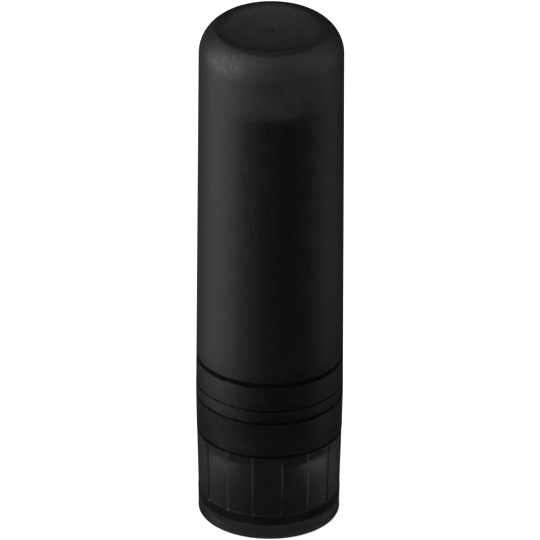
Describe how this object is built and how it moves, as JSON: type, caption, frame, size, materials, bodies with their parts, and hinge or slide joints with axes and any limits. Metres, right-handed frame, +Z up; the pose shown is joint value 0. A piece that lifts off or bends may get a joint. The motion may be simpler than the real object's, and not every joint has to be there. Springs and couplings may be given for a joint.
{
  "type": "lip balm stick",
  "caption": "Twist-up lip balm stick: a frosted dished cap pulls off a glossy tinted container, and a grooved dial turns a screw that lifts the balm on its elevator.",
  "frame": {"origin": "centre of the dial's foot, on the surface that the stick stands on", "axes": "+Z up along the stick's axis, towards the cap's dished top; -Y is the side that the picture looks at"},
  "size_m": [0.019, 0.019, 0.07],
  "materials": {
    "frosted_plastic": "dark translucent plastic, frosted outside, polished below the fine line",
    "tinted_plastic": "dark translucent plastic, glossy",
    "inner_plastic": "dark plastic, satin",
    "natural_plastic": "natural white plastic, satin",
    "balm_wax": "pale wax, smooth and faintly mottled"
  },
  "bodies": {
    "container": {"container": "tinted_plastic"},
    "cap": {"cap": "frosted_plastic"},
    "dial": {"dial": "tinted_plastic", "screw": "inner_plastic"},
    "elevator": {"elevator": "natural_plastic", "balm": "balm_wax"}
  },
  "joints": [
    {"name": "cap_pull", "type": "slide", "parent": "container", "child": "cap", "axis": [0, 0, 1], "range_m": [0, 0.06]},
    {"name": "dial_turn", "type": "hinge", "parent": "container", "child": "dial", "pos_m": [0, 0, 0], "axis": [0, 0, 1], "range_deg": [-1710, 360]},
    {"name": "elevator_lift", "type": "slide", "parent": "container", "child": "elevator", "axis": [0, 0, 1], "range_m": [-0.0304, 0.0064]}
  ],
  "couplings": [
    {"joint": "elevator_lift", "follows": "dial_turn", "m_per_rad": 0.0010186}
  ]
}
